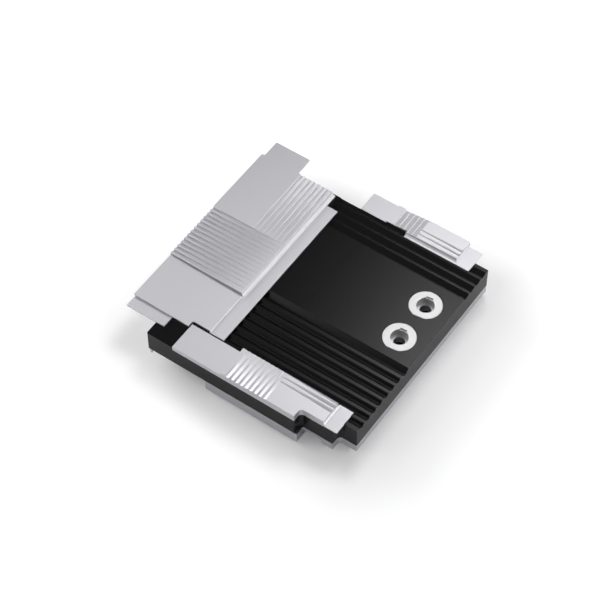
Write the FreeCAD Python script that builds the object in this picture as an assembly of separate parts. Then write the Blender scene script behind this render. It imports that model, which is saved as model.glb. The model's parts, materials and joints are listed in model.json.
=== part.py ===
import FreeCAD, Part
import math
import os

# Monoblock water block: a black acetal body with milled grooves, a nickel-plated copper cold
# plate under it, three milled aluminium covers on it and two flush threaded ports.
# Millimetres. The origin is the centre of the processor contact face, +Z points to the ports,
# +X to the port side and +Y to the far side of the board.

# Stack of heights, from the processor contact face up and down
contact_to_board = 7.2      # processor contact face above the circuit board
pad_proud = 0.3             # contact pad below the rest of the cold plate
plate_thick = 3.2
body_thick = 16.8
vrm_drop = 5.2              # power-stage contact face below the processor contact face
rail_drop = 3.0             # side rail below the processor contact face
plate_bottom = pad_proud
plate_top = plate_bottom + plate_thick
body_top = plate_top + body_thick
board_z = -contact_to_board

# Plan of the body
body_left = -107.5
body_right = 49.6
body_near = -108.35
body_far = 59.6
far_land = 4.7              # the right-hand part reaches this much further
far_land_x = -29.8
notch_1 = (11.0, 7.35)      # x of the first near notch and its depth
notch_2 = (36.1, 7.6)
notch_round = 3.0
corner_round = 1.0

# Plan of the cold plate
plate_left = -60.3
plate_cpu_left = -44.0
plate_cpu_near = -40.0
plate_cpu_far = 54.0
vrm_block_right = 13.0
vrm_block_deep = 20.35
rail_wide = 3.8
rail_foot_x = 27.3
rail_foot_deep = 16.0
rail_pad = 12.0             # square pad at the far end of the rail
contact_side = 38.0         # processor contact pad

# Microfins and the parts of the flow path
fin_area = (32.0, 30.0)
fin_pitch = 0.8
fin_thick = 0.4
fin_deep = 2.2
chamber_half = (24.0, 22.0)
channel_wide = 8.0
channel_tall = 5.0
vrm_pocket = (-45.0, body_near + 13.35, -0.5, body_near + 24.35)
feed_y = -58.0              # cross channels between the chamber and the power-stage pocket
jet_thick = 0.8
jet_slot = (28.0, 2.2)
insert_gap = 0.2
collector_wide = 5.0

# Ports: G1/4 threaded inserts, flush with the top
port_x = 30.9
port_pitch = 31.7
port_ring_r = 11.45
port_ring_thick = 2.5
port_sleeve_r = 8.5
port_sleeve_deep = 7.6
port_bore_r = 6.15          # the thread's pitch radius
port_thread_deep = 5.6
port_mouth = 0.3
port_edge = 0.25
port_tube_r = 5.4           # tube from the sleeve down to the channel
passage_r = 4.1
port_gap = 0.2
port_seal_r = 9.4
port_seal_wide = 1.3
port_seal_tall = 1.0

# Main seal: cord in a groove around the wet area
seal_wall = 3.2             # from a pocket's edge to the seal's centre line
seal_wide = 2.2
seal_tall = 1.4
seal_gap = 0.2
seal_round = 4.0

# Grooves across the top, open at the right wall. Each starts at its steep wall; the sizes are its
# width, then the lowest corner's distance from that wall, depth and rounding.
groove_left = -67.0
wide_groove_y = -33.4
wide_groove = (7.45, 4.1, 3.9, 1.2)
near_groove_y = -43.2
near_groove_pitch = 7.04
near_groove_count = 7
near_groove = (4.85, 2.0, 2.5, 1.0)
far_groove_y = 34.35
far_groove_pitch = 7.15
far_groove_count = 4
far_groove = (5.8, 0.9, 1.6, 0.9)
seam_x = -34.5
seam_wide = 0.5
seam_deep = 0.4

# Fasteners
thread_r = 1.5              # M3
thread_gap = 0.05
hole_r = 1.7
female_r = 1.25
csk_head_r = 2.8
csk_tall = 1.4
pan_head_r = 2.75
pan_head_tall = 2.0
pan_pocket_r = 3.1
socket_flat = 2.0
socket_deep = 1.2
plate_screw_long = 12.0
vrm_screw_long = 16.0
screw_spare = 1.0           # drilled deeper than the screw reaches
cover_web = 5.0             # body left under the head of a cover screw
io_screw_grip = 2.3         # how far each kind of cover screw reaches into its cover
vrm_screw_grip = 2.8
top_screw_grip = 1.5
cpu_pitch = 75.0            # processor hole pattern
cpu_standoff_r = 3.0
board_standoff_r = 2.4
stud_long = 5.0
standoff_tap = 4.0
edge_inset = (10.0, 13.0)   # left standoffs from the body's left wall and its near or far wall
pin_r = 0.9                 # locating pins at the left corners
pin_inset = 1.6
pin_low = -1.5
pin_deep = 5.0

# Covers: heights above the body's top
flange_thick = 0.8
crest_wide = 0.7            # bevelled crest of a louvre or rib, and how far it falls
crest_fall = 0.3
drop_wide = 0.35            # the drop after it leans this much
louvre_spans = 6
io_top = 4.0
io_under = 1.0              # clearance under the overhanging part
io_left = -132.9
io_right = -73.4
io_near = -48.4
io_far = 58.1
io_far_plate = (-130.6, -102.3, 14.4, 1.4)   # left, right, length and thickness
io_strip = (-61.7, -84.9, 47.6)              # right edge, near end, far end
io_mid = (2.3, 1.6)         # height of the middle section at its left and right edges
io_mid_thick = 1.0
io_mid_left = -132.6
io_mid_right = -73.2
io_mid_near = -89.2
io_mid_notch = (-87.3, 5.0)
io_lip = (-131.7, -100.8, 9.2, 1.0)          # left, right, length and thickness
io_lip_slant = 0.2
io_lip_groove = (1.6, 0.5)  # width and depth of the shadow groove beside the lip
io_slot = (0.9, 0.7)        # width and depth of the shadow slot across the cover
io_flank_round = 2.4
io_louvre_y = 0.7
io_louvre_pitch = 3.74
io_louvre_count = 13
io_louvre_deep = (2.0, 0.12)
io_rib_x = -99.2
io_rib_pitch = 3.65
io_rib_count = 7
io_rib_deep = (1.1, 0.15)

vrm_top = (1.1, 3.2)        # height left and right of the step
vrm_seat = 2.6              # recess below the body's top
vrm_left = -86.4
vrm_right = 28.6
vrm_far = -86.2
vrm_step = (-46.6, 2.45, 1.0)                # x, how far the far edge steps out, and its rounding
vrm_lip = (39.4, 0.7, 0.8, -82.2, 0.4)       # right edge, drop, thickness, far edge, overhang
vrm_flank_round = 2.2
vrm_rib_x = -43.6
vrm_rib_pitch = 3.67
vrm_rib_count = 9
vrm_rib_deep = (1.0, 0.4)
vrm_slats = 3
vrm_slat_x = -12.8
vrm_slat_pitch = 3.75
vrm_slat_y = (-84.2, -85.2)                  # near edge of the farthest slat at both ends
vrm_slat_size = ((1.1, 0.35), (3.0, 1.1))    # width and depth at both ends
vrm_fit = 0.15

top_left = -50.1
top_block_x = (-12.6, 28.0)
top_lip_right = 39.35
top_near = (58.9, 60.0, 55.4)                # near edge left, middle and right
top_far = (75.5, 76.6, 75.5, 73.2)           # far edge left, step, block and lip
top_step_x = -30.0
top_height = 3.0
top_ramp_x = (-24.4, -4.5)
top_wall_y = 58.2           # near wall of the raised block
top_wall_round = 2.0
top_flank_round = 1.9
top_rib_x = -23.6
top_rib_pitch = 3.9
top_rib_count = 5
top_rib_deep = (0.55, 0.3)
top_slats = 3
top_slat_x = -7.0
top_slat_pitch = 3.8
top_slat_y = (65.25, 64.75)
top_slat_size = ((1.3, 0.35), (3.1, 1.0))

over = 1.0                  # how far a cutter stands out of what it cuts


def block(low, high):
    size = [high[i] - low[i] for i in range(3)]
    return Part.makeBox(size[0], size[1], size[2], FreeCAD.Vector(*low))


def post(x, y, z_low, z_high, radius):
    return Part.makeCylinder(radius, z_high - z_low, FreeCAD.Vector(x, y, z_low))


def cone(x, y, z_low, z_high, r_low, r_high):
    return Part.makeCone(r_low, r_high, z_high - z_low, FreeCAD.Vector(x, y, z_low))


def outline(corners, place):
    # A closed outline. Each corner is (a, b) or (a, b, radius), place turns a and b into a point,
    # and a radius becomes an arc tangent to both sides.
    points = [place(c[0], c[1]) for c in corners]
    edges = []
    start = None
    last = None
    for i, corner in enumerate(corners):
        point = points[i]
        radius = corner[2] if len(corner) > 2 else 0.0
        if radius > 0.0:
            back = (points[i - 1] - point).normalize()
            ahead = (points[(i + 1) % len(points)] - point).normalize()
            half = back.getAngle(ahead) / 2.0
            reach = radius / math.tan(half)
            first = point + back * reach
            second = point + ahead * reach
            centre = point + (back + ahead).normalize() * (radius / math.sin(half))
            middle = centre + (point - centre).normalize() * radius
        else:
            first = point
            second = point
        if last is not None and (first - last).Length > 1e-6:
            edges.append(Part.makeLine(last, first))
        if radius > 0.0:
            edges.append(Part.Arc(first, middle, second).toShape())
        if start is None:
            start = first
        last = second
    if (start - last).Length > 1e-6:
        edges.append(Part.makeLine(last, start))
    return Part.Wire(edges)


def flat_outline(corners, z):
    return outline(corners, lambda x, y: FreeCAD.Vector(x, y, z))


def slab(corners, z_low, z_high):
    face = Part.Face(flat_outline(corners, z_low))
    return face.extrude(FreeCAD.Vector(0, 0, z_high - z_low))


def section_along_x(corners, x_low, x_high):
    # A closed outline of (y, z) corners, run from x_low to x_high
    face = Part.Face(outline(corners, lambda y, z: FreeCAD.Vector(x_low, y, z)))
    return face.extrude(FreeCAD.Vector(x_high - x_low, 0, 0))


def section_along_y(corners, y_low, y_high):
    # A closed outline of (x, z) corners, run from y_low to y_high
    face = Part.Face(outline(corners, lambda x, z: FreeCAD.Vector(x, y_low, z)))
    return face.extrude(FreeCAD.Vector(0, y_high - y_low, 0))


def tapered(first, last):
    # A cutter between two outlines of as many points, in spans that keep its twisted faces smooth
    sections = []
    for i in range(louvre_spans + 1):
        share = i / louvre_spans
        loop = [a + (b - a) * share for a, b in zip(first, last)]
        sections.append(Part.makePolygon(loop + loop[:1]))
    return Part.makeLoft(sections, True, True)


def louvre(start, end, fall, pitch, deep_start, deep_end):
    # One saw-tooth cut: a bevelled crest, a drop, and a surface that climbs back over one pitch.
    # start and end are points of the drop line on the uncut surface; fall points downhill.
    def tooth(point, deep):
        size = min(1.0, deep / crest_wide)
        crest = crest_wide * size
        steps = ((-crest, over), (-crest, 0.0), (0.0, -crest_fall * size),
                 (drop_wide * size, -deep), (pitch - crest, 0.0), (pitch - crest, over))
        return [point + fall * along + FreeCAD.Vector(0, 0, rise) for along, rise in steps]
    return tapered(tooth(start, deep_start), tooth(end, deep_end))


def slat(x_pair, y_pair, z, sizes):
    # One tapered cut along X: a sharp near edge, and a round far side that climbs back to z
    ends = []
    for x, y, (width, depth) in zip(x_pair, y_pair, sizes):
        steps = ((0.0, over), (0.0, -depth), (0.2 * width, -depth), (0.3 * width, -0.6 * depth),
                 (0.5 * width, -0.28 * depth), (0.75 * width, -0.08 * depth), (width, 0.0),
                 (width, over))
        ends.append([FreeCAD.Vector(x, y + along, z + rise) for along, rise in steps])
    return tapered(*ends)


def joined(shapes):
    solid = shapes[0]
    for shape in shapes[1:]:
        solid = solid.fuse(shape)
    return solid.removeSplitter()


def cut_all(solid, tools):
    return solid.cut(Part.makeCompound(tools))


def hex_socket(x, y, z_low, z_high):
    radius = socket_flat / math.sqrt(3.0)
    corners = []
    for i in range(6):
        turn = math.radians(60.0 * i)
        corners.append((x + radius * math.cos(turn), y + radius * math.sin(turn)))
    return slab(corners, z_low, z_high)


# Places of the fasteners, worked out from the pockets and edges beside them
head_room = csk_head_r + seal_wide / 2.0 + seal_gap + 0.4
seal_right = port_x + passage_r + seal_wall
seal_far = chamber_half[1] + seal_wall + 1.3
seal_left = -chamber_half[0] - seal_wall - 1.3
seal_vrm_left = vrm_pocket[0] - seal_wall - 1.3
seal_vrm_near = vrm_pocket[1] - seal_wall
seal_vrm_right = vrm_pocket[2] + seal_wall
seal_step_y = feed_y + channel_wide / 2.0 + seal_wall
seal_cross_y = feed_y - channel_wide / 2.0 - seal_wall
return_x = 24.0
seal_waist = return_x + channel_wide / 2.0 + seal_wall
port_y = port_pitch / 2.0

plate_screw_places = [
    (-chamber_half[0], seal_far + head_room), (chamber_half[0], seal_far + head_room),
    (seal_left - head_room, 0.0), (seal_right + head_room, 0.0),
    (seal_waist + head_room, feed_y), (18.0, seal_cross_y - head_room),
    (seal_vrm_left + 3.0, seal_step_y + head_room), (seal_vrm_left - head_room, -66.0)]
vrm_screw_places = [
    (seal_vrm_left - head_room, vrm_pocket[1]), (-22.0, seal_vrm_near - head_room),
    (seal_vrm_right + head_room, vrm_pocket[1])]
cpu_half = cpu_pitch / 2.0
cpu_standoffs = {
    "cpu_standoff_near_left": (-cpu_half, -cpu_half),
    "cpu_standoff_near_right": (cpu_half, -cpu_half),
    "cpu_standoff_far_left": (-cpu_half, cpu_half),
    "cpu_standoff_far_right": (cpu_half, cpu_half)}
rail_places = {
    "board_standoff_near_right": (body_right - 6.6, body_near + notch_1[1] + notch_2[1] + 4.6),
    "board_standoff_far_right": (body_right - 6.6, body_far + far_land - 6.0)}
corner_places = {
    "board_standoff_near_left": (body_left + edge_inset[0], body_near + edge_inset[1]),
    "board_standoff_far_left": (body_left + edge_inset[0], body_far - edge_inset[1])}
pin_places = [(body_left + pin_inset, body_near + pin_inset),
              (body_left + pin_inset, body_far - pin_inset)]
io_screw_places = [(body_left + 4.5, 36.0), (-79.0, 6.0), (-79.0, -40.0)]
vrm_cover_screw_places = [(-72.0, body_near + 11.35), (19.0, body_near + 15.35)]
top_screw_places = [(8.0, 62.4), (24.0, 62.4)]


def body_outline():
    first_y = body_near + notch_1[1]
    second_y = first_y + notch_2[1]
    return [(body_left, body_near, corner_round), (notch_1[0], body_near),
            (notch_1[0], first_y, notch_round), (notch_2[0], first_y),
            (notch_2[0], second_y, notch_round), (body_right, second_y),
            (body_right, body_far + far_land), (far_land_x, body_far + far_land),
            (far_land_x, body_far), (body_left, body_far)]


def vrm_cover_outline(gap):
    # Flush with the body's near walls; the gap is left at the other sides of the recess
    step_x, step_deep, step_round = vrm_step
    step_y = vrm_far + step_deep
    return [(vrm_left - gap, body_near), (notch_1[0], body_near),
            (notch_1[0], body_near + notch_1[1], notch_round),
            (vrm_right + gap, body_near + notch_1[1]), (vrm_right + gap, step_y + gap),
            (step_x - gap, step_y + gap), (step_x - gap, vrm_far + gap, step_round - gap),
            (vrm_left - gap, vrm_far + gap)]


def seal_corners():
    bulge = port_y + port_sleeve_r + 1.5
    return [(seal_right, seal_far, seal_round), (seal_left, seal_far, seal_round),
            (seal_left, seal_step_y, 2.0), (seal_vrm_left, seal_step_y, seal_round),
            (seal_vrm_left, seal_vrm_near, seal_round), (seal_vrm_right, seal_vrm_near, seal_round),
            (seal_vrm_right, seal_cross_y, 2.0), (seal_waist, seal_cross_y, seal_round),
            (seal_waist, -bulge - 5.0, 2.0), (seal_right, -bulge + 1.0, 2.0)]


def ring_between(outer_offset, z_low, z_high):
    centre = flat_outline(seal_corners(), z_low)
    outer = centre.makeOffset2D(outer_offset)
    inner = centre.makeOffset2D(-outer_offset)
    face = Part.Face([outer, inner])
    face.validate()
    return face.extrude(FreeCAD.Vector(0, 0, z_high - z_low))


def groove(edge_y, sizes, lean):
    # Steep wall at edge_y, a round bottom, and a floor that climbs to the other side
    width, along, depth, rounding = sizes
    corners = [(edge_y, body_top + over), (edge_y, body_top),
               (edge_y + along * lean, body_top - depth, rounding),
               (edge_y + width * lean, body_top), (edge_y + width * lean, body_top + over)]
    return section_along_x(corners, groove_left, body_right + over)


def top_grooves():
    cutters = [groove(wide_groove_y, wide_groove, -1.0)]
    for i in range(near_groove_count):
        cutters.append(groove(near_groove_y - near_groove_pitch * i, near_groove, -1.0))
    for i in range(far_groove_count):
        cutters.append(groove(far_groove_y + far_groove_pitch * i, far_groove, 1.0))
    return cutters


def flow_pockets():
    # Chamber, channels and power-stage pocket, milled into the underside of the body
    roof = plate_top + channel_tall
    low = plate_top - over
    half = channel_wide / 2.0
    side_x = -chamber_half[0] + half
    vrm_leg_x = vrm_pocket[0] + half
    cross_x = vrm_pocket[2] - half
    legs = [
        ((-chamber_half[0], -chamber_half[1]), chamber_half),
        ((-chamber_half[0], feed_y - half), (side_x + half, 0.0)),
        ((vrm_pocket[0], feed_y - half), (side_x + half, feed_y + half)),
        ((vrm_pocket[0], vrm_pocket[3] - half), (vrm_leg_x + half, feed_y)),
        ((vrm_pocket[0], vrm_pocket[1]), (vrm_pocket[2], vrm_pocket[3])),
        ((cross_x - half, vrm_pocket[3] - half), (cross_x + half, feed_y)),
        ((cross_x - half, feed_y - half), (return_x + half, feed_y + half)),
        ((return_x - half, feed_y), (return_x + half, -port_y - 4.0))]
    pockets = [block((a[0], a[1], low), (b[0], b[1], roof)) for a, b in legs]
    link = [(return_x - half, -port_y - 8.0), (port_x + passage_r, -port_y - 3.0),
            (port_x + passage_r, -port_y + passage_r), (port_x - passage_r, -port_y + passage_r),
            (port_x - passage_r, -port_y)]
    pockets.append(slab(link, low, roof))
    inlet = [(chamber_half[0] - over, -half), (port_x + passage_r, port_y - passage_r),
             (port_x + passage_r, port_y + passage_r), (port_x - passage_r, port_y + passage_r),
             (chamber_half[0] - over, half)]
    pockets.append(slab(inlet, low, roof))
    return pockets


def vrm_recess():
    # Open at the near walls, with a shallower floor under the cover's lip
    floor = body_top - vrm_seat
    clear = body_near - over
    step_x, step_deep, step_round = vrm_step
    step_y = vrm_far + step_deep + vrm_fit
    left = vrm_left - vrm_fit
    right = vrm_right + vrm_fit
    pocket = slab([(left, clear), (right, clear), (right, step_y), (step_x - vrm_fit, step_y),
                   (step_x - vrm_fit, vrm_far + vrm_fit, step_round - vrm_fit),
                   (left, vrm_far + vrm_fit)], floor, body_top + over)
    lip_right, lip_drop, lip_thick, lip_far, lip_over = vrm_lip
    lip = block((right - over, clear, body_top - lip_drop - lip_thick),
                (lip_right + vrm_fit, lip_far + vrm_fit, body_top + over))
    return [pocket, lip]


def make_top_body():
    body = slab(body_outline(), plate_top, body_top)
    cutters = top_grooves()
    cutters.append(block((seam_x, wide_groove_y - over, body_top - seam_deep),
                         (seam_x + seam_wide, far_groove_y, body_top + over)))
    cutters += flow_pockets()
    cutters.append(ring_between(seal_wide / 2.0 + seal_gap, plate_top - over, plate_top + seal_tall))
    cutters += vrm_recess()
    seat = body_top - port_ring_thick
    roof = plate_top + channel_tall
    groove_r = port_seal_r + port_seal_wide / 2.0 + seal_gap
    for side in (-1.0, 1.0):
        y = side * port_y
        cutters.append(post(port_x, y, seat, body_top + over, port_ring_r + port_gap))
        cutters.append(post(port_x, y, body_top - port_sleeve_deep, body_top,
                            port_sleeve_r + thread_gap))
        cutters.append(post(port_x, y, roof, body_top, port_tube_r + thread_gap))
        cutters.append(post(port_x, y, plate_top, roof + over, passage_r))
        cutters.append(post(port_x, y, seat - port_seal_tall, seat + over, groove_r))
    thread = thread_r + thread_gap
    plate_screw_end = plate_bottom + plate_screw_long + screw_spare
    vrm_screw_end = vrm_screw_long - vrm_drop + screw_spare
    for x, y in plate_screw_places:
        cutters.append(post(x, y, plate_top - over, plate_screw_end, thread))
    for x, y in vrm_screw_places:
        cutters.append(post(x, y, plate_top - over, vrm_screw_end, thread))
    places = list(cpu_standoffs.values()) + list(rail_places.values()) + list(corner_places.values())
    for x, y in places:
        cutters.append(post(x, y, plate_top - over, plate_top + stud_long + screw_spare, thread))
    for x, y in pin_places:
        cutters.append(post(x, y, plate_top - over, plate_top + pin_deep, pin_r + thread_gap))
    for (x, y), seat in cover_screw_seats():
        cutters.append(post(x, y, plate_top - over, seat - cover_web, pan_pocket_r))
        cutters.append(post(x, y, plate_top, seat + over, hole_r))
    return cut_all(body, cutters)


def cover_screw_seats():
    # Place of each cover screw and the height of the cover's underside there
    seats = [(place, body_top) for place in io_screw_places + top_screw_places]
    seats += [(place, body_top - vrm_seat) for place in vrm_cover_screw_places]
    return seats


def make_cold_plate():
    first_y = body_near + notch_1[1]
    second_y = first_y + notch_2[1]
    far = body_far + far_land
    base = slab([(plate_left, body_near), (vrm_block_right, body_near), (vrm_block_right, first_y),
                 (notch_2[0], first_y), (notch_2[0], second_y, notch_round),
                 (body_right, second_y), (body_right, far), (body_right - rail_pad, far),
                 (body_right - rail_pad, plate_cpu_far), (plate_cpu_left, plate_cpu_far),
                 (plate_cpu_left, plate_cpu_near), (plate_left, plate_cpu_near)],
                plate_bottom, plate_top)
    vrm = block((plate_left, body_near, -vrm_drop),
                (vrm_block_right, body_near + vrm_block_deep, plate_bottom + over))
    rail = slab([(rail_foot_x, first_y), (notch_2[0], first_y),
                 (notch_2[0], second_y, notch_round), (body_right, second_y),
                 (body_right, far), (body_right - rail_pad, far),
                 (body_right - rail_pad, far - rail_pad), (body_right - rail_wide, far - rail_pad),
                 (body_right - rail_wide, first_y + rail_foot_deep),
                 (rail_foot_x, first_y + rail_foot_deep)],
                -rail_drop, plate_bottom + over)
    half = contact_side / 2.0
    pad = block((-half, -half, 0.0), (half, half, plate_bottom + over))
    plate = joined([base, vrm, rail, pad])
    cutters = []
    count = int(fin_area[0] / fin_pitch)
    start = -fin_pitch * count / 2.0
    for i in range(count):
        x = start + fin_pitch * i
        cutters.append(block((x, -fin_area[1] / 2.0, plate_top - fin_deep),
                             (x + fin_pitch - fin_thick, fin_area[1] / 2.0, plate_top + over)))
    for x, y in plate_screw_places:
        cutters.append(screw_hole(x, y, plate_bottom))
    for x, y in vrm_screw_places:
        cutters.append(screw_hole(x, y, -vrm_drop))
    for x, y in cpu_standoffs.values():
        cutters.append(post(x, y, plate_bottom - over, plate_top + over, hole_r))
    for x, y in rail_places.values():
        cutters.append(post(x, y, -rail_drop - over, plate_top + over, hole_r))
    return cut_all(plate, cutters)


def screw_hole(x, y, z_face):
    sink = cone(x, y, z_face, z_face + csk_tall, csk_head_r + thread_gap, hole_r)
    mouth = post(x, y, z_face - over, z_face, csk_head_r + thread_gap)
    return joined([mouth, sink, post(x, y, z_face + csk_tall, plate_top + over, hole_r)])


def make_jet_plate():
    half = (fin_area[0] / 2.0 + 2.0, fin_area[1] / 2.0 + 1.0)
    plate = block((-half[0], -half[1], plate_top), (half[0], half[1], plate_top + jet_thick))
    slot = slab([(-jet_slot[0] / 2.0, -jet_slot[1] / 2.0), (jet_slot[0] / 2.0, -jet_slot[1] / 2.0),
                 (jet_slot[0] / 2.0, jet_slot[1] / 2.0), (-jet_slot[0] / 2.0, jet_slot[1] / 2.0)],
                plate_top - over, plate_top + jet_thick + over)
    relief = block((-fin_area[0] / 2.0, -half[1] - over, plate_top - over),
                   (fin_area[0] / 2.0, -fin_area[1] / 2.0 + collector_wide - 2.0, plate_top + over))
    far_relief = relief.mirror(FreeCAD.Vector(0, 0, 0), FreeCAD.Vector(0, 1, 0))
    return cut_all(plate, [slot, relief, far_relief])


def make_flow_insert():
    # Fills the chamber above the jet plate and leads the inlet to its slot
    low = plate_top + jet_thick
    roof = plate_top + channel_tall - insert_gap
    half_y = fin_area[1] / 2.0 + 1.0
    left = -chamber_half[0] + insert_gap
    right = chamber_half[0] - insert_gap
    body = block((left, -half_y, low), (right, half_y, roof))
    throat = channel_wide / 2.0 - 1.0
    duct = block((-jet_slot[0] / 2.0, -throat, low + 1.2), (right + over, throat, roof - 1.0))
    mouth = block((-jet_slot[0] / 2.0, -jet_slot[1] / 2.0, low - over),
                  (jet_slot[0] / 2.0, jet_slot[1] / 2.0, low + 1.2 + over))
    return cut_all(body, [duct, mouth])


def make_main_seal():
    return ring_between(seal_wide / 2.0, plate_top, plate_top + seal_tall)


def make_port_ring(y):
    flange = post(port_x, y, body_top - port_ring_thick, body_top - port_edge, port_ring_r)
    edge = cone(port_x, y, body_top - port_edge, body_top, port_ring_r, port_ring_r - port_edge)
    sleeve = post(port_x, y, body_top - port_sleeve_deep, body_top - port_ring_thick, port_sleeve_r)
    roof = plate_top + channel_tall
    tube = post(port_x, y, roof, body_top - port_sleeve_deep, port_tube_r)
    ring = joined([flange, edge, sleeve, tube])
    floor = body_top - port_thread_deep - port_mouth
    cutters = [post(port_x, y, floor, body_top + over, port_bore_r),
               cone(port_x, y, body_top - port_mouth, body_top, port_bore_r,
                    port_bore_r + port_mouth),
               post(port_x, y, roof - over, body_top, passage_r)]
    return cut_all(ring, cutters)


def make_port_seal(y):
    seat = body_top - port_ring_thick
    outer = post(port_x, y, seat - port_seal_tall, seat, port_seal_r + port_seal_wide / 2.0)
    inner = post(port_x, y, seat - port_seal_tall - over, seat + over,
                 port_seal_r - port_seal_wide / 2.0)
    return outer.cut(inner)


def countersunk_screw(x, y, z_face, length):
    head = cone(x, y, z_face, z_face + csk_tall - 0.1, csk_head_r, thread_r)
    shank = post(x, y, z_face + csk_tall - 0.1, z_face + length, thread_r)
    return joined([head, shank]).cut(hex_socket(x, y, z_face - over, z_face + socket_deep))


def pan_screw(x, y, z_seat, z_end):
    head = post(x, y, z_seat - pan_head_tall, z_seat, pan_head_r)
    shank = post(x, y, z_seat, z_end, thread_r)
    socket = hex_socket(x, y, z_seat - pan_head_tall - over, z_seat - pan_head_tall + socket_deep)
    return joined([head, shank]).cut(socket)


def standoff(x, y, z_top, radius, stud_top):
    barrel = post(x, y, board_z, z_top, radius)
    stud = post(x, y, z_top, stud_top, thread_r)
    tap = post(x, y, board_z - over, board_z + standoff_tap, female_r)
    return joined([barrel, stud]).cut(tap)


def io_louvres():
    cutters = []
    top = body_top + io_top
    toward = FreeCAD.Vector(0, -1, 0)
    for i in range(io_louvre_count):
        y = io_louvre_y - io_louvre_pitch * i
        start = FreeCAD.Vector(io_left - 0.01, y, top)
        end = FreeCAD.Vector(io_right, y, top)
        cutters.append(louvre(start, end, toward, io_louvre_pitch, *io_louvre_deep))
    across = FreeCAD.Vector(1, 0, 0)
    for i in range(io_rib_count):
        x = io_rib_x + io_rib_pitch * i
        start = FreeCAD.Vector(x, io_far + 0.01, top)
        end = FreeCAD.Vector(x, io_louvre_y, top)
        cutters.append(louvre(start, end, across, io_rib_pitch, *io_rib_deep))
    return cutters


def make_io_cover():
    base = body_top
    top = base + io_top
    under = base + io_under
    seat_x = body_left + 0.6
    strip_top = base + flange_thick
    foot_x = io_right + io_flank_round + 0.4
    flank = [(io_left, under), (io_left, top), (io_right - 0.4, top), (io_right, top - 0.3),
             (io_right, strip_top, io_flank_round), (foot_x, strip_top), (foot_x, base),
             (seat_x, base), (seat_x, under)]
    upper = section_along_y(flank, io_near, io_far)
    left, right, reach, thick = io_far_plate
    far_plate = block((left, io_far - over, top - thick), (right, io_far + reach, top))
    strip = block((io_right, io_strip[1], base), (io_strip[0], io_strip[2], strip_top))
    step = io_mid[1] - flange_thick
    tail = [(io_mid_left, base + io_mid[0] - io_mid_thick), (io_mid_left, base + io_mid[0]),
            (io_mid_right, base + io_mid[1]), (io_mid_right, strip_top, step * 0.9),
            (io_mid_right + step + 0.3, strip_top), (io_mid_right + step + 0.3, base),
            (io_mid_right, base)]
    middle = section_along_y(tail, io_mid_near, io_near + over)
    notch_x, notch_deep = io_mid_notch
    notch = slab([(notch_x, io_mid_near - over), (io_mid_right + 2.0 * over, io_mid_near - over),
                  (io_mid_right + 2.0 * over, io_mid_near + notch_deep),
                  (notch_x, io_mid_near + notch_deep, 1.5)], base - over, base + io_top)
    middle = middle.cut(notch)
    pad = section_along_y([(seat_x + 3.0, base), (seat_x + 3.0, base + io_mid[0] - 0.6),
                           (io_mid_right, base + io_mid[1] - 0.3), (io_mid_right, base)],
                          io_mid_near + notch_deep + 4.0, io_near + over)
    lip_left, lip_right, lip_long, lip_thick = io_lip
    lip = slab([(lip_left, io_mid_near - lip_long),
                (lip_right, io_mid_near - lip_long + io_lip_slant),
                (lip_right, io_mid_near + 6.0), (lip_left, io_mid_near + 6.0)], base, base + lip_thick)
    web = section_along_y([(lip_left, base), (lip_left, base + io_mid[0] - 0.2),
                           (lip_right, base + io_mid[0] - 0.8), (lip_right, base)],
                          io_mid_near + 0.2, io_mid_near + 6.0)
    groove_wide, groove_deep = io_lip_groove
    lip_top = base + lip_thick
    shadow = section_along_x([(io_mid_near - groove_wide, lip_top + over),
                              (io_mid_near - groove_wide, lip_top),
                              (io_mid_near - 0.4, lip_top - groove_deep),
                              (io_mid_near + 0.2, lip_top - groove_deep),
                              (io_mid_near + 0.2, lip_top + over)], lip_left - over, lip_right + over)
    cover = joined([upper, far_plate, middle, pad, lip.cut(shadow), web, strip])
    slot_wide, slot_deep = io_slot
    cutters = io_louvres()
    cutters.append(section_along_y([(io_left - over, base + io_mid[0] - slot_deep),
                                    (io_left - over, base + io_mid[0] + 0.4),
                                    (io_right + 0.6, base + io_mid[1] + 0.4),
                                    (io_right + 0.6, base + io_mid[1] - slot_deep)],
                                   io_near - slot_wide, io_near))
    thread = thread_r + thread_gap
    for x, y in io_screw_places:
        cutters.append(post(x, y, base - over, base + io_screw_grip + 0.4, thread))
    return cut_all(cover, cutters)


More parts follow.
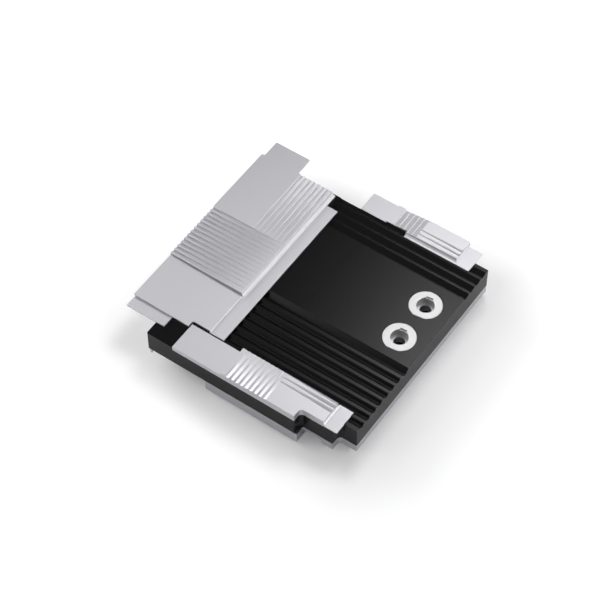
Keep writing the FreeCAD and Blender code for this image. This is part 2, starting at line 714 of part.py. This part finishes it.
def make_vrm_cover():
    bottom = body_top - vrm_seat
    low = body_top + vrm_top[0]
    top = body_top + vrm_top[1]
    first_y = body_near + notch_1[1]
    step_x = vrm_step[0]
    step_y = vrm_far + vrm_step[1]
    cover = slab(vrm_cover_outline(0.0), bottom, top)
    lower = block((vrm_left - over, body_near - over, low), (step_x, step_y + over, top + over))
    lip_right, lip_drop, lip_thick, lip_far, lip_over = vrm_lip
    lip_top = body_top - lip_drop
    lip = block((vrm_right, first_y - lip_over, lip_top - lip_thick), (lip_right, lip_far, lip_top))
    foot_x = vrm_right + vrm_flank_round
    hollow = section_along_y([(vrm_right - over, lip_top - lip_thick),
                              (foot_x + 0.3, lip_top - lip_thick), (foot_x + 0.3, lip_top),
                              (vrm_right, lip_top, vrm_flank_round), (vrm_right, top - 0.6),
                              (vrm_right - over, top - 0.6)], first_y, step_y)
    cover = joined([cover.cut(lower), lip, hollow])
    cutters = []
    across = FreeCAD.Vector(1, 0, 0)
    for i in range(vrm_rib_count):
        x = vrm_rib_x + vrm_rib_pitch * i
        start = FreeCAD.Vector(x, body_near - 0.01, top)
        end = FreeCAD.Vector(x, step_y + 0.01, top)
        cutters.append(louvre(start, end, across, vrm_rib_pitch, *vrm_rib_deep))
    for i in range(vrm_slats):
        y_pair = [y - vrm_slat_pitch * i for y in vrm_slat_y]
        cutters.append(slat((vrm_slat_x, vrm_right + 0.01), y_pair, top, vrm_slat_size))
    thread = thread_r + thread_gap
    for x, y in vrm_cover_screw_places:
        cutters.append(post(x, y, bottom - over, bottom + vrm_screw_grip + 0.4, thread))
    return cut_all(cover, cutters)


def make_upper_cover():
    base = body_top
    sheet_top = base + flange_thick
    top = base + top_height
    block_left, block_right = top_block_x
    near_left, near_middle, near_block = top_near
    far_left, far_step, far_block, far_lip = top_far
    ramp_left, ramp_right = top_ramp_x
    sheet = slab([(top_left, near_left), (far_land_x, near_left), (far_land_x, near_middle),
                  (block_left, near_middle), (block_left, near_block), (top_lip_right, near_block),
                  (top_lip_right, far_lip), (block_right, far_lip), (block_right, far_block),
                  (ramp_left, far_block), (ramp_left, far_step), (top_step_x, far_step),
                  (top_step_x, far_left), (top_left, far_left)], base, sheet_top)
    foot_x = block_right + top_flank_round + 0.3
    profile = [(ramp_left, base), (ramp_left, sheet_top), (ramp_right, top), (block_right - 0.3, top),
               (block_right, top - 0.2), (block_right, sheet_top, top_flank_round - 0.2),
               (foot_x, sheet_top), (foot_x, base)]
    raised = section_along_y(profile, near_block, far_block)
    beyond = block((block_right, far_lip, base - over), (foot_x + over, far_block + over, top + over))
    front = section_along_x([(near_block - over, top + over), (near_block - over, sheet_top),
                             (top_wall_y, sheet_top, top_wall_round), (top_wall_y, top + over)],
                            ramp_left - over, foot_x + over)
    side = block((ramp_left - over, near_block - over, base - over),
                 (block_left, near_middle, top + over))
    cover = joined([sheet, raised.cut(Part.makeCompound([beyond, front, side]))])
    cutters = []
    rise = (top_height - flange_thick) / (ramp_right - ramp_left)
    downhill = FreeCAD.Vector(1, 0, rise)
    for i in range(top_rib_count):
        x = top_rib_x + top_rib_pitch * i
        z = sheet_top + rise * (x - ramp_left)
        start = FreeCAD.Vector(x, far_block + 0.01, z)
        end = FreeCAD.Vector(x, top_wall_y - 0.01, z)
        cutters.append(louvre(start, end, downhill, top_rib_pitch, *top_rib_deep))
    for i in range(top_slats):
        y_pair = [y - top_slat_pitch * i for y in top_slat_y]
        cutters.append(slat((top_slat_x, block_right + 0.01), y_pair, top, top_slat_size))
    thread = thread_r + thread_gap
    for x, y in top_screw_places:
        cutters.append(post(x, y, base - over, base + top_screw_grip + 0.3, thread))
    return cut_all(cover, cutters)


def make_parts():
    parts = {
        "cold_plate": make_cold_plate(),
        "top_body": make_top_body(),
        "jet_plate": make_jet_plate(),
        "flow_insert": make_flow_insert(),
        "main_seal": make_main_seal(),
        "port_ring_outlet": make_port_ring(-port_y),
        "port_ring_inlet": make_port_ring(port_y),
        "port_seal_outlet": make_port_seal(-port_y),
        "port_seal_inlet": make_port_seal(port_y),
        "io_cover": make_io_cover(),
        "vrm_cover": make_vrm_cover(),
        "upper_cover": make_upper_cover()}
    parts["plate_screws"] = Part.makeCompound(
        [countersunk_screw(x, y, plate_bottom, plate_screw_long) for x, y in plate_screw_places])
    parts["vrm_screws"] = Part.makeCompound(
        [countersunk_screw(x, y, -vrm_drop, vrm_screw_long) for x, y in vrm_screw_places])
    groups = {"io_cover_screws": (io_screw_places, body_top, io_screw_grip),
              "vrm_cover_screws": (vrm_cover_screw_places, body_top - vrm_seat, vrm_screw_grip),
              "upper_cover_screws": (top_screw_places, body_top, top_screw_grip)}
    for name, (places, seat, grip) in groups.items():
        screws = [pan_screw(x, y, seat - cover_web, seat + grip) for x, y in places]
        parts[name] = Part.makeCompound(screws)
    parts["locating_pins"] = Part.makeCompound(
        [post(x, y, pin_low, plate_top + pin_deep, pin_r) for x, y in pin_places])
    stud_top = plate_top + stud_long
    for name, (x, y) in cpu_standoffs.items():
        parts[name] = standoff(x, y, plate_bottom, cpu_standoff_r, stud_top)
    for name, (x, y) in rail_places.items():
        parts[name] = standoff(x, y, -rail_drop, board_standoff_r, stud_top)
    for name, (x, y) in corner_places.items():
        parts[name] = standoff(x, y, plate_top, board_standoff_r, stud_top)
    return parts


os.makedirs("parts", exist_ok=True)
for node, shape in make_parts().items():
    shape.exportStep("parts/" + node + ".step")
    box = shape.BoundBox
    print(node, "solids", len(shape.Solids), "valid", shape.isValid(), "volume", round(shape.Volume, 1),
          "x", round(box.XMin, 1), round(box.XMax, 1), "y", round(box.YMin, 1), round(box.YMax, 1),
          "z", round(box.ZMin, 1), round(box.ZMax, 1))
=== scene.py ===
import json
import math
import bpy
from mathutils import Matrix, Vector


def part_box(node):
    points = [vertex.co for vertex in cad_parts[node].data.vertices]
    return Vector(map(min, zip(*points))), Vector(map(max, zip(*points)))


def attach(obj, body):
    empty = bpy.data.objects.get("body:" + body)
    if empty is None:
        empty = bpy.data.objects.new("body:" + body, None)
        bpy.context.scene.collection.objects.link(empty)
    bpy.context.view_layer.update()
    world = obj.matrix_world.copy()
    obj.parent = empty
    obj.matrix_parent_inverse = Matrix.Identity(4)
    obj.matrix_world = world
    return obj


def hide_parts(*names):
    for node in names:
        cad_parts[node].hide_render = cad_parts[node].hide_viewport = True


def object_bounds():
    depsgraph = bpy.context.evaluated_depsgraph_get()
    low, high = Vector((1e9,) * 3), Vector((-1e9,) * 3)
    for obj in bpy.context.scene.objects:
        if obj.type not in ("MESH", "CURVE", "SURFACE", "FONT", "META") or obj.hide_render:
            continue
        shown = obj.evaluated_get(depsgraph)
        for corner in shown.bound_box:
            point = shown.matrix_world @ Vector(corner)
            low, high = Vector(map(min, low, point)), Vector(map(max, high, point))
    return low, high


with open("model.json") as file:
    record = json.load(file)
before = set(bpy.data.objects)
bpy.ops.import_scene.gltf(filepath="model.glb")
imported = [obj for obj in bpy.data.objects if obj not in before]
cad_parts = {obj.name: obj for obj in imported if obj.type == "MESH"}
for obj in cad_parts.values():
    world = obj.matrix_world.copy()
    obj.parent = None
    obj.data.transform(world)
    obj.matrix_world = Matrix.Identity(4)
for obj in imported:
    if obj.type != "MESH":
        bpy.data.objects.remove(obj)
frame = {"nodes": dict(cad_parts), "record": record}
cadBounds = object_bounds()
nodes = frame["nodes"]
mm = 0.001


def linear(hexText):
    # An sRGB hex colour as linear light
    channels = [int(hexText[i:i + 2], 16) / 255.0 for i in (1, 3, 5)]
    straight = [c / 12.92 if c <= 0.04045 else ((c + 0.055) / 1.055) ** 2.4 for c in channels]
    return (*straight, 1.0)


def addNode(tree, kind, settings=None, links=None):
    # One node with its settings, and links from other nodes' outputs into its inputs
    node = tree.nodes.new(kind)
    for name, value in (settings or {}).items():
        if isinstance(name, int) or name in node.inputs:
            node.inputs[name].default_value = value
        else:
            setattr(node, name, value)
    for name, source in (links or {}).items():
        tree.links.new(source, node.inputs[name])
    return node


def newMaterial(name):
    material = bpy.data.materials.new(name)
    material.use_nodes = True
    material.node_tree.nodes.clear()
    return material, material.node_tree


def grainScale(sizeMm):
    # A noise texture's scale for features of this real size, on Object coordinates in metres
    return 1.0 / (sizeMm * mm)


def dress(nodeName, material):
    for materialSlot in nodes[nodeName].material_slots:
        materialSlot.material = material


# Materials

acetal = {
    "colour": "#09090A",
    "cloudColour": "#0D0D0E",
    "cloudMm": 30.0,
    "cloudDetail": 3.0,
    "roughness": 0.27,
    "ior": 1.48,
    "gloss": 0.25,          # half the usual level, so the top stays black under the lamps
    "grainMm": 0.35,        # coarser than real blasting, which is too fine to draw
    "grainDeep": 0.006,     # mm
    "grainStrength": 0.5,
    "grainDetail": 4.0,
}


def milledAcetal():
    # Acetal, milled and lightly blasted: a satin black, with a grain that only softens the gloss
    material, tree = newMaterial("milledAcetal")
    place = addNode(tree, "ShaderNodeTexCoord").outputs["Object"]
    cloud = addNode(tree, "ShaderNodeTexNoise",
                    {"Scale": grainScale(acetal["cloudMm"]), "Detail": acetal["cloudDetail"]},
                    {"Vector": place})
    tone = addNode(tree, "ShaderNodeValToRGB", links={"Fac": cloud.outputs["Fac"]})
    tone.color_ramp.elements[0].color = linear(acetal["colour"])
    tone.color_ramp.elements[1].color = linear(acetal["cloudColour"])
    grain = addNode(tree, "ShaderNodeTexNoise",
                    {"Scale": grainScale(acetal["grainMm"]), "Detail": acetal["grainDetail"]},
                    {"Vector": place})
    bump = addNode(tree, "ShaderNodeBump",
                   {"Strength": acetal["grainStrength"], "Distance": acetal["grainDeep"] * mm},
                   {"Height": grain.outputs["Fac"]})
    shader = addNode(tree, "ShaderNodeBsdfPrincipled",
                     {"Roughness": acetal["roughness"], "IOR": acetal["ior"],
                      "Specular IOR Level": acetal["gloss"]},
                     {"Base Color": tone.outputs["Color"], "Normal": bump.outputs["Normal"]})
    addNode(tree, "ShaderNodeOutputMaterial", links={"Surface": shader.outputs["BSDF"]})
    return material


# A finish is a colour, a roughness, and the size and depth of its grain in mm. The real grains
# are too fine to draw, so these are coarser and only soften the gloss.
metals = {
    "roughnessSpread": 0.03,        # either way, with the grain
    "grainStrength": 0.5,
    "grainDetail": 4.0,
    "finishes": {
        # Aluminium, bead-blasted and clear anodised: pale and even, with no sharp reflection
        "blastedAluminium": ("#D6D5D9", 0.5, 0.25, 0.006),
        # Copper, milled and nickel-plated: satin silver
        "nickelPlate": ("#CECDD1", 0.45, 0.4, 0.004),
        # Brass, turned and nickel-plated: paler and softer than the plate
        "nickelBrass": ("#D8D7D8", 0.52, 0.3, 0.003),
        # Steel, zinc-plated: darker, with a tighter gloss
        "screwSteel": ("#8C8C90", 0.35, 0.3, 0.004),
        # Stainless steel, rolled to sheet: mid grey, the glossiest of them
        "stainlessSheet": ("#B4B4B6", 0.3, 0.3, 0.004),
    },
}


def plainMetal(name):
    colour, roughness, grainMm, grainDeep = metals["finishes"][name]
    material, tree = newMaterial(name)
    place = addNode(tree, "ShaderNodeTexCoord").outputs["Object"]
    grain = addNode(tree, "ShaderNodeTexNoise",
                    {"Scale": grainScale(grainMm), "Detail": metals["grainDetail"]},
                    {"Vector": place})
    spread = addNode(tree, "ShaderNodeMapRange",
                     {"To Min": roughness - metals["roughnessSpread"],
                      "To Max": roughness + metals["roughnessSpread"]},
                     {"Value": grain.outputs["Fac"]})
    bump = addNode(tree, "ShaderNodeBump",
                   {"Strength": metals["grainStrength"], "Distance": grainDeep * mm},
                   {"Height": grain.outputs["Fac"]})
    shader = addNode(tree, "ShaderNodeBsdfPrincipled",
                     {"Base Color": linear(colour), "Metallic": 1.0},
                     {"Roughness": spread.outputs["Result"], "Normal": bump.outputs["Normal"]})
    addNode(tree, "ShaderNodeOutputMaterial", links={"Surface": shader.outputs["BSDF"]})
    return material


rubber = {
    "colour": "#161616",
    "roughness": 0.7,
    "grainMm": 0.5,
    "grainDeep": 0.01,      # mm
    "grainStrength": 0.4,
    "grainDetail": 3.0,
}


def sealRubber():
    # Rubber cord, moulded: dull and nearly black
    material, tree = newMaterial("sealRubber")
    place = addNode(tree, "ShaderNodeTexCoord").outputs["Object"]
    grain = addNode(tree, "ShaderNodeTexNoise",
                    {"Scale": grainScale(rubber["grainMm"]), "Detail": rubber["grainDetail"]},
                    {"Vector": place})
    bump = addNode(tree, "ShaderNodeBump",
                   {"Strength": rubber["grainStrength"], "Distance": rubber["grainDeep"] * mm},
                   {"Height": grain.outputs["Fac"]})
    shader = addNode(tree, "ShaderNodeBsdfPrincipled",
                     {"Base Color": linear(rubber["colour"]), "Roughness": rubber["roughness"]},
                     {"Normal": bump.outputs["Normal"]})
    addNode(tree, "ShaderNodeOutputMaterial", links={"Surface": shader.outputs["BSDF"]})
    return material


def dressFrame():
    blackAcetal = milledAcetal()
    metal = {name: plainMetal(name) for name in metals["finishes"]}
    slotMaterials = {
        "black_acetal": blackAcetal,
        "insert_acetal": blackAcetal,
        "nickel_copper": metal["nickelPlate"],
        "satin_aluminium": metal["blastedAluminium"],
        "nickel_brass": metal["nickelBrass"],
        "stainless_sheet": metal["stainlessSheet"],
        "seal_rubber": sealRubber(),
        "steel_screws": metal["screwSteel"],
    }
    for subpart in frame["record"]["subparts"]:
        dress(subpart["node"], slotMaterials[subpart["material_slot"]])
    print("materials on", len(nodes), "nodes")
    return slotMaterials


# The port rings, each with two shallow wrench slots in its face

portRings = {
    "rings": (("port_ring_outlet", "outletRing"), ("port_ring_inlet", "inletRing")),
    "weld": 0.002,                  # mm, under which corners of neighbouring faces are merged
    "turn": 8.0,                    # degrees, of both slots about the ring's axis
    "slotDeep": 1.3,                # mm
    "boreSlot": (5.2, 5.4, 7.0),    # mm: width, and its reach from the axis, on the far side
    "rimSlot": (7.4, -12.4, -10.7),
    "smoothUnder": 25.0,            # degrees between faces
}


def copyOfNode(nodeName, pieceName, finish):
    # The node's own mesh as a piece to work on, with the seams between its faces closed
    piece = bpy.data.objects.new(pieceName, nodes[nodeName].data.copy())
    bpy.context.collection.objects.link(piece)
    bpy.ops.object.select_all(action="DESELECT")
    bpy.context.view_layer.objects.active = piece
    piece.select_set(True)
    bpy.ops.object.mode_set(mode="EDIT")
    bpy.ops.mesh.select_all(action="SELECT")
    bpy.ops.mesh.remove_doubles(threshold=portRings["weld"] * mm)
    bpy.ops.object.mode_set(mode="OBJECT")
    bpy.ops.mesh.customdata_custom_splitnormals_clear()
    piece.data.materials.clear()
    piece.data.materials.append(finish)
    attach(piece, "root")
    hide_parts(nodeName)
    return piece


def cutSlot(ring, centre, top, slot):
    # A box is sunk halfway into the ring's face and taken away from it
    wide, first, last = slot
    turn = math.radians(portRings["turn"])
    reach = (first + last) / 2.0 * mm
    place = Vector((centre.x - math.sin(turn) * reach, centre.y + math.cos(turn) * reach, top))
    bpy.ops.object.select_all(action="DESELECT")
    bpy.ops.mesh.primitive_cube_add(size=1.0, location=place, rotation=(0.0, 0.0, turn))
    cutter = bpy.context.active_object
    cutter.scale = (wide * mm, (last - first) * mm, portRings["slotDeep"] * 2.0 * mm)
    bpy.ops.object.transform_apply(location=True, rotation=True, scale=True)
    cut = ring.modifiers.new("slot", "BOOLEAN")
    cut.operation = "DIFFERENCE"
    cut.solver = "EXACT"
    cut.object = cutter
    bpy.ops.object.select_all(action="DESELECT")
    bpy.context.view_layer.objects.active = ring
    ring.select_set(True)
    bpy.ops.object.modifier_apply(modifier=cut.name)
    bpy.data.objects.remove(cutter, do_unlink=True)


def modelPortRings(finish):
    for nodeName, pieceName in portRings["rings"]:
        low, high = [Vector(corner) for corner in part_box(nodeName)]
        centre = (low + high) / 2.0
        ring = copyOfNode(nodeName, pieceName, finish)
        cutSlot(ring, centre, high.z, portRings["boreSlot"])
        cutSlot(ring, centre, high.z, portRings["rimSlot"])
        bpy.ops.object.shade_smooth_by_angle(angle=math.radians(portRings["smoothUnder"]))
    print("port rings", len(portRings["rings"]))


# Stage

# Lengths are in mm. A direction's part is between -1 and 1.
studio = {
    "wallColour": "#F6F6F8",
    "wallLevel": 0.37,
    "ceilingLevel": 0.0,
    "wallTop": (0.1, 0.55),         # the walls fade to the ceiling over this upward part
    "backdropColour": "#FFFFFF",
    "backdrop": 1.0,
    "backdropInGloss": (0.1, 0.9),  # its share in reflections, on the near side and behind
    "wallBehind": (0.2, 0.8),       # that share grows over this Y part of a direction
    "floorBehind": (100.0, 400.0),  # and over these Y places on the floor
    "floorColour": "#F4F4F5",
    "floorRoughness": 0.9,
    "floorWide": 9000.0,
    # The floor's own light, dimmed near the object as a painted shadow round it: distance from the
    # object's outline, and level
    "floorGlowAndPaintedShadow": ((0.0, 0.03), (5.0, 0.12), (9.0, 0.17), (14.0, 0.23), (35.0, 0.31), (350.0, 0.8)),
    # Name, size across and along, place, aim point, and watts
    "lamps": (
        ("leftSoftbox", (600.0, 400.0), (-750.0, 0.0, 300.0), (-60.0, -20.0, 20.0), 4.7),
        ("leftTopSoftbox", (500.0, 500.0), (-350.0, 0.0, 650.0), (0.0, -20.0, 20.0), 0.16),
        ("nearLeftSoftbox", (500.0, 500.0), (-450.0, -500.0, 450.0), (-30.0, -20.0, 20.0), 1.24),
        ("farTopSoftbox", (250.0, 250.0), (-60.0, 330.0, 650.0), (0.0, -20.0, 20.0), 1.45),
        ("farRightSoftbox", (500.0, 500.0), (500.0, 500.0, 450.0), (0.0, 0.0, 20.0), 1.28),
        ("rightSoftbox", (600.0, 400.0), (700.0, 0.0, 300.0), (0.0, -20.0, 20.0), 2.65),
    ),
}


def backdropShare(tree, forGloss):
    # How much of the white backdrop a ray sees: all of it from the camera, some in reflections
    rays = addNode(tree, "ShaderNodeLightPath")
    gloss = addNode(tree, "ShaderNodeMath", {"operation": "MAXIMUM"},
                    {0: rays.outputs["Is Glossy Ray"], 1: rays.outputs["Is Transmission Ray"]})
    dimmed = addNode(tree, "ShaderNodeMath", {"operation": "MULTIPLY"},
                     {0: gloss.outputs["Value"], 1: forGloss})
    share = addNode(tree, "ShaderNodeMath", {"operation": "ADD"},
                    {0: rays.outputs["Is Camera Ray"], 1: dimmed.outputs["Value"]})
    return share.outputs["Value"]


def glossBehind(tree, across, low, high):
    # The backdrop's level in reflections, which grows towards the side behind the object
    near, far = studio["backdropInGloss"]
    level = addNode(tree, "ShaderNodeMapRange",
                    {"From Min": low, "From Max": high, "To Min": near, "To Max": far},
                    {"Value": across})
    return level.outputs["Result"]


def distanceFromBody(tree, place, reach):
    # The floor's distance from the object's outline box, as a share of the reach
    middle = (cadBounds[0] + cadBounds[1]) / 2.0
    half = (cadBounds[1] - cadBounds[0]) / 2.0
    centred = addNode(tree, "ShaderNodeVectorMath",
                      {"operation": "SUBTRACT", 1: (middle.x, middle.y, 0.0)}, {0: place})
    folded = addNode(tree, "ShaderNodeVectorMath", {"operation": "ABSOLUTE"},
                     {0: centred.outputs["Vector"]})
    beyond = addNode(tree, "ShaderNodeVectorMath",
                     {"operation": "SUBTRACT", 1: (half.x, half.y, 0.0)},
                     {0: folded.outputs["Vector"]})
    clear = addNode(tree, "ShaderNodeVectorMath", {"operation": "MAXIMUM", 1: (0.0, 0.0, 0.0)},
                    {0: beyond.outputs["Vector"]})
    length = addNode(tree, "ShaderNodeVectorMath", {"operation": "LENGTH"},
                     {0: clear.outputs["Vector"]})
    share = addNode(tree, "ShaderNodeMath", {"operation": "MULTIPLY", 1: 1.0 / (reach * mm)},
                    {0: length.outputs["Value"]})
    return share.outputs["Value"]


def makeWorld():
    # A white backdrop for the camera, and grey walls under a dark ceiling to light the object
    world = bpy.data.worlds.new("studioWorld")
    bpy.context.scene.world = world
    world.use_nodes = True
    tree = world.node_tree
    tree.nodes.clear()
    away = addNode(tree, "ShaderNodeTexCoord").outputs["Generated"]
    direction = addNode(tree, "ShaderNodeSeparateXYZ", links={"Vector": away})
    low, high = studio["wallTop"]
    wall = addNode(tree, "ShaderNodeMapRange",
                   {"From Min": low, "From Max": high, "To Min": 1.0, "To Max": 0.0},
                   {"Value": direction.outputs["Z"]})
    level = addNode(tree, "ShaderNodeMapRange",
                    {"To Min": studio["ceilingLevel"], "To Max": studio["wallLevel"]},
                    {"Value": wall.outputs["Result"]})
    soft = addNode(tree, "ShaderNodeBackground", {"Color": linear(studio["wallColour"])},
                   {"Strength": level.outputs["Result"]})
    backdrop = addNode(tree, "ShaderNodeBackground",
                       {"Color": linear(studio["backdropColour"]), "Strength": studio["backdrop"]})
    behind = glossBehind(tree, direction.outputs["Y"], *studio["wallBehind"])
    inGloss = addNode(tree, "ShaderNodeMath", {"operation": "MULTIPLY"},
                      {0: wall.outputs["Result"], 1: behind})
    share = backdropShare(tree, inGloss.outputs["Value"])
    mixed = addNode(tree, "ShaderNodeMixShader", links={
        0: share, 1: soft.outputs["Background"], 2: backdrop.outputs["Background"]})
    addNode(tree, "ShaderNodeOutputWorld", links={"Surface": mixed.outputs["Shader"]})


def floorPaper():
    # Paper, smooth and matt: it takes the object's shadow, and glows to white away from it; the glow is
    # dimmed near the object, a painted shadow round it
    material, tree = newMaterial("floorPaper")
    paper = addNode(tree, "ShaderNodeBsdfPrincipled",
                    {"Base Color": linear(studio["floorColour"]),
                     "Roughness": studio["floorRoughness"], "Specular IOR Level": 0.0})
    place = addNode(tree, "ShaderNodeTexCoord").outputs["Object"]
    across = addNode(tree, "ShaderNodeSeparateXYZ", links={"Vector": place}).outputs["Y"]
    low, high = studio["floorBehind"]
    inGloss = glossBehind(tree, across, low * mm, high * mm)
    reach = studio["floorGlowAndPaintedShadow"][-1][0]
    # The glow's level by distance from the object's outline: low close to it, which paints a shadow
    # round the object
    glowAndPaintedShadowRamp = addNode(tree, "ShaderNodeValToRGB", links={"Fac": distanceFromBody(tree, place, reach)})
    stops = glowAndPaintedShadowRamp.color_ramp.elements
    for distance, level in studio["floorGlowAndPaintedShadow"][1:-1]:   # a new ramp has its two end stops
        stops.new(distance / reach)
    for stop, (distance, level) in zip(stops, studio["floorGlowAndPaintedShadow"]):
        stop.position = distance / reach
        stop.color = (level, level, level, 1.0)
    glowAndPaintedShadow = addNode(tree, "ShaderNodeEmission", links={
        "Color": glowAndPaintedShadowRamp.outputs["Color"], "Strength": backdropShare(tree, inGloss)})
    both = addNode(tree, "ShaderNodeAddShader", links={
        0: paper.outputs["BSDF"], 1: glowAndPaintedShadow.outputs["Emission"]})
    addNode(tree, "ShaderNodeOutputMaterial", links={"Surface": both.outputs["Shader"]})
    return material


def makeFloor():
    bpy.ops.object.select_all(action="DESELECT")
    bpy.ops.mesh.primitive_plane_add(size=studio["floorWide"] * mm,
                                     location=(0.0, 0.0, cadBounds[0][2]))
    floor = bpy.context.active_object
    floor.name = "studioFloor"
    bpy.ops.object.transform_apply(location=True, rotation=True, scale=True)
    floor.data.materials.append(floorPaper())


def makeLamps():
    for name, size, place, aim, watts in studio["lamps"]:
        lamp = bpy.data.lights.new(name, "AREA")
        lamp.shape = "RECTANGLE"
        lamp.size = size[0] * mm
        lamp.size_y = size[1] * mm
        lamp.energy = watts
        stand = bpy.data.objects.new(name, lamp)
        bpy.context.collection.objects.link(stand)
        stand.location = Vector(place) * mm
        away = stand.location - Vector(aim) * mm
        stand.rotation_euler = away.to_track_quat("Z", "Y").to_euler()


def makeStage():
    makeWorld()
    makeFloor()
    makeLamps()
    print("stage with", len(studio["lamps"]), "lamps")


# The photograph's view, as the direction that the camera looks from. Lengths are in mm.
photoView = {
    "target": (-40.0, -28.6, 20.3),   # on the black top, near the picture's middle
    "azimuth": 34.92,                 # degrees round from -Y towards +X
    "elevation": 53.49,               # degrees
    "distance": 1420.0,
    "lens": 127.98,
    "sensor": 36.0,
    "farthest": 50000.0,              # what the camera still draws
}


def makeCamera():
    lens = bpy.data.cameras.new("photoCamera")
    lens.lens = photoView["lens"]
    lens.sensor_width = photoView["sensor"]
    lens.sensor_fit = "HORIZONTAL"
    lens.clip_end = photoView["farthest"] * mm
    camera = bpy.data.objects.new("photoCamera", lens)
    bpy.context.collection.objects.link(camera)
    turn = math.radians(photoView["azimuth"])
    rise = math.radians(photoView["elevation"])
    outward = Vector((math.sin(turn) * math.cos(rise), -math.cos(turn) * math.cos(rise), math.sin(rise)))
    target = Vector(photoView["target"]) * mm
    camera.location = target + outward * photoView["distance"] * mm
    camera.rotation_euler = (math.pi / 2.0 - rise, 0.0, turn)
    bpy.context.scene.camera = camera
    print("camera set")


bpy.context.scene.view_settings.view_transform = "Standard"
makeCamera()
makeStage()
finishes = dressFrame()
modelPortRings(finishes["nickel_brass"])
